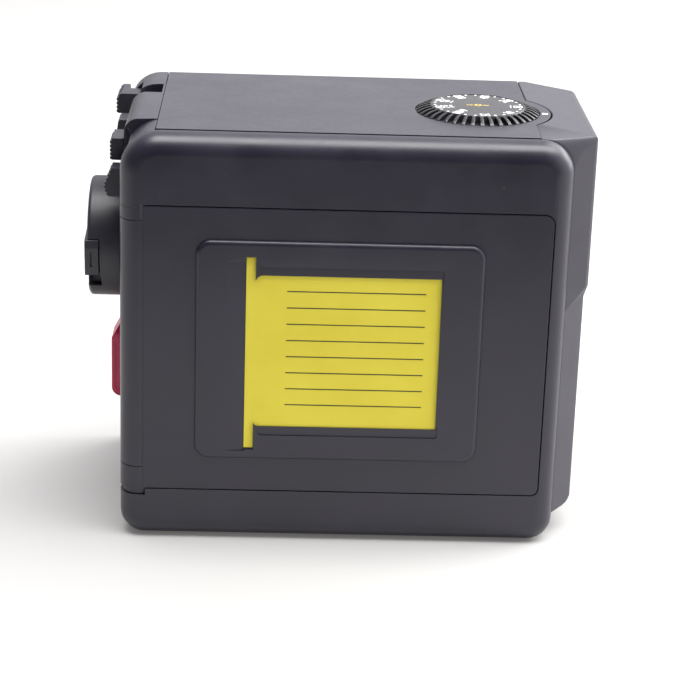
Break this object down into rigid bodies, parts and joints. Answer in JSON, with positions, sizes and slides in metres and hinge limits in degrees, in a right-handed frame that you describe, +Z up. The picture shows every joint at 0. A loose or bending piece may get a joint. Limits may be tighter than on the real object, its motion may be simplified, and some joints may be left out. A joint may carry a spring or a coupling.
{
  "type": "35 mm film magazine for a medium-format camera",
  "caption": "Clip-on rear film magazine with hinged back door, memo holder, film-speed dial, folding rewind crank, slide levers and a geared film transport.",
  "frame": {"origin": "middle of the bounding box's underside, on the surface the magazine stands on", "axes": "+X to the right seen from behind (door side), +Y forward to the camera, +Z up"},
  "size_m": [0.1021, 0.0564, 0.0863],
  "materials": {
    "body_plastic": "satin black moulding, fine-grained",
    "inner_plastic": "dead matt black",
    "lever_plastic": "satin black",
    "red_plastic": "semi-gloss crimson",
    "card": "matt yellow card",
    "steel": "bright turned steel",
    "alloy": "matt anodised alloy",
    "brass": "turned brass",
    "gear_plastic": "natural acetal",
    "foam": "black light-trap felt",
    "window": "clear moulded window",
    "circuit_board": "green board"
  },
  "bodies": {
    "case": {"rear_shell": "body_plastic", "body_casing": "body_plastic", "top_cover": "body_plastic", "right_housing": "body_plastic", "front_frame": "body_plastic", "back_plate": "inner_plastic", "film_chamber": "inner_plastic", "lever_guard": "lever_plastic", "contact_block": "lever_plastic", "front_screw_1": "steel", "front_screw_2": "steel", "front_screw_3": "steel", "front_screw_4": "steel", "hinge_pin": "steel", "pressure_spring": "steel", "counter_shaft": "steel", "rewind_spring": "steel", "release_spring": "steel", "gate_plate": "alloy", "gear_plate": "alloy", "shaft_bush": "brass", "door_seal_top": "foam", "door_seal_bottom": "foam", "dark_slide_seal": "foam", "counter_window": "window", "speed_board": "circuit_board"},
    "door": {"door_panel": "body_plastic", "door_leaf": "body_plastic", "memo_plate": "body_plastic", "memo_card": "card", "cassette_leaf": "steel"},
    "rewind_slide": {"rewind_sleeve": "brass"},
    "rewind": {"rewind_knob": "lever_plastic", "rewind_shaft": "steel", "rewind_fork": "steel", "crank_pin": "steel"},
    "crank": {"crank_arm": "lever_plastic"},
    "crank_grip": {"crank_grip": "lever_plastic"},
    "film_speed": {"film_speed_dial": "lever_plastic", "dial_shaft": "steel", "dial_wiper": "brass"},
    "magazine_release": {"magazine_release_lever": "lever_plastic", "release_hook": "steel"},
    "latch_lock": {"latch_lock_lever": "lever_plastic"},
    "door_latch": {"door_latch_lever": "lever_plastic", "latch_bar": "steel"},
    "rewind_release": {"rewind_release_lever": "red_plastic", "release_link": "steel"},
    "pressure_plate": {"pressure_plate": "inner_plastic"},
    "sprocket": {"sprocket_roller": "inner_plastic", "sprocket_shaft": "steel", "sprocket_gear": "gear_plastic"},
    "take_up": {"take_up_spool": "inner_plastic", "spool_shaft": "steel", "spool_gear": "brass"},
    "spool_idler": {"spool_idler": "gear_plastic"},
    "drive_idler": {"drive_idler": "gear_plastic"},
    "drive_gear": {"drive_gear": "brass"},
    "counter": {"counter_disc": "lever_plastic"},
    "top_roller": {"top_roller": "steel"}
  },
  "joints": [
    {"name": "door_hinge", "type": "hinge", "parent": "case", "child": "door", "pos_m": [-0.03938, -0.02337, 0.041], "axis": [0, 0, -1], "range_deg": [0, 110]},
    {"name": "rewind_pull", "type": "slide", "parent": "case", "child": "rewind_slide", "axis": [-1, 0, 0], "range_m": [0, 0.006], "stiffness_N_per_m": 120, "springref_m": -0.002, "deforming": ["rewind_spring"]},
    {"name": "rewind_spin", "type": "hinge", "parent": "rewind_slide", "child": "rewind", "pos_m": [-0.04317, -0.00328, 0.0574], "axis": [-1, 0, 0], "continuous": true},
    {"name": "crank_fold", "type": "hinge", "parent": "rewind", "child": "crank", "pos_m": [-0.04967, 0.00407, 0.0583], "axis": [0, 0.1219, -0.9925], "range_deg": [0, 180]},
    {"name": "crank_grip_spin", "type": "hinge", "parent": "crank", "child": "crank_grip", "pos_m": [-0.04918, -0.00983, 0.0566], "axis": [-1, 0, 0], "continuous": true},
    {"name": "film_speed_turn", "type": "hinge", "parent": "case", "child": "film_speed", "pos_m": [0.02832, -0.00047, 0.085], "axis": [0, 0, 1], "range_deg": [-240, 80]},
    {"name": "magazine_release_slide", "type": "slide", "parent": "case", "child": "magazine_release", "axis": [0, 0, -1], "range_m": [0, 0.004], "stiffness_N_per_m": 150, "springref_m": -0.003, "deforming": ["release_spring"]},
    {"name": "latch_lock_slide", "type": "slide", "parent": "case", "child": "latch_lock", "axis": [0, 0, 1], "range_m": [0, 0.002]},
    {"name": "door_latch_slide", "type": "slide", "parent": "case", "child": "door_latch", "axis": [0, 0, -1], "range_m": [0, 0.0035], "stiffness_N_per_m": 150, "springref_m": -0.003},
    {"name": "rewind_release_slide", "type": "slide", "parent": "case", "child": "rewind_release", "axis": [0, 0, 1], "range_m": [0, 0.0035]},
    {"name": "pressure_plate_slide", "type": "slide", "parent": "case", "child": "pressure_plate", "axis": [0, -1, 0], "range_m": [0, 0.0003], "stiffness_N_per_m": 200, "springref_m": -0.001, "deforming": ["pressure_spring"]},
    {"name": "sprocket_spin", "type": "hinge", "parent": "case", "child": "sprocket", "pos_m": [0.00183, 0.00668, 0.0155], "axis": [1, 0, 0], "continuous": true},
    {"name": "take_up_spin", "type": "hinge", "parent": "case", "child": "take_up", "pos_m": [0.00183, -0.00777, 0.0215], "axis": [1, 0, 0], "continuous": true},
    {"name": "spool_idler_spin", "type": "hinge", "parent": "case", "child": "spool_idler", "pos_m": [0.03633, 0.00171, 0.023], "axis": [1, 0, 0], "continuous": true},
    {"name": "drive_idler_spin", "type": "hinge", "parent": "case", "child": "drive_idler", "pos_m": [0.03633, 0.01527, 0.02099], "axis": [1, 0, 0], "continuous": true},
    {"name": "drive_gear_spin", "type": "hinge", "parent": "case", "child": "drive_gear", "pos_m": [0.03633, 0.02312, 0.018], "axis": [1, 0, 0], "continuous": true},
    {"name": "counter_spin", "type": "hinge", "parent": "case", "child": "counter", "pos_m": [0.04682, 0.00272, 0.064], "axis": [1, 0, 0], "continuous": true},
    {"name": "top_roller_spin", "type": "hinge", "parent": "case", "child": "top_roller", "pos_m": [0.00183, 0.00912, 0.0702], "axis": [1, 0, 0], "continuous": true}
  ],
  "couplings": [
    {"joint": "take_up_spin", "follows": "sprocket_spin", "ratio": 0.90909},
    {"joint": "spool_idler_spin", "follows": "sprocket_spin", "ratio": -2},
    {"joint": "drive_idler_spin", "follows": "sprocket_spin", "ratio": -1.4286},
    {"joint": "drive_gear_spin", "follows": "sprocket_spin", "ratio": 1.4286},
    {"joint": "counter_spin", "follows": "sprocket_spin", "ratio": 0.025}
  ]
}
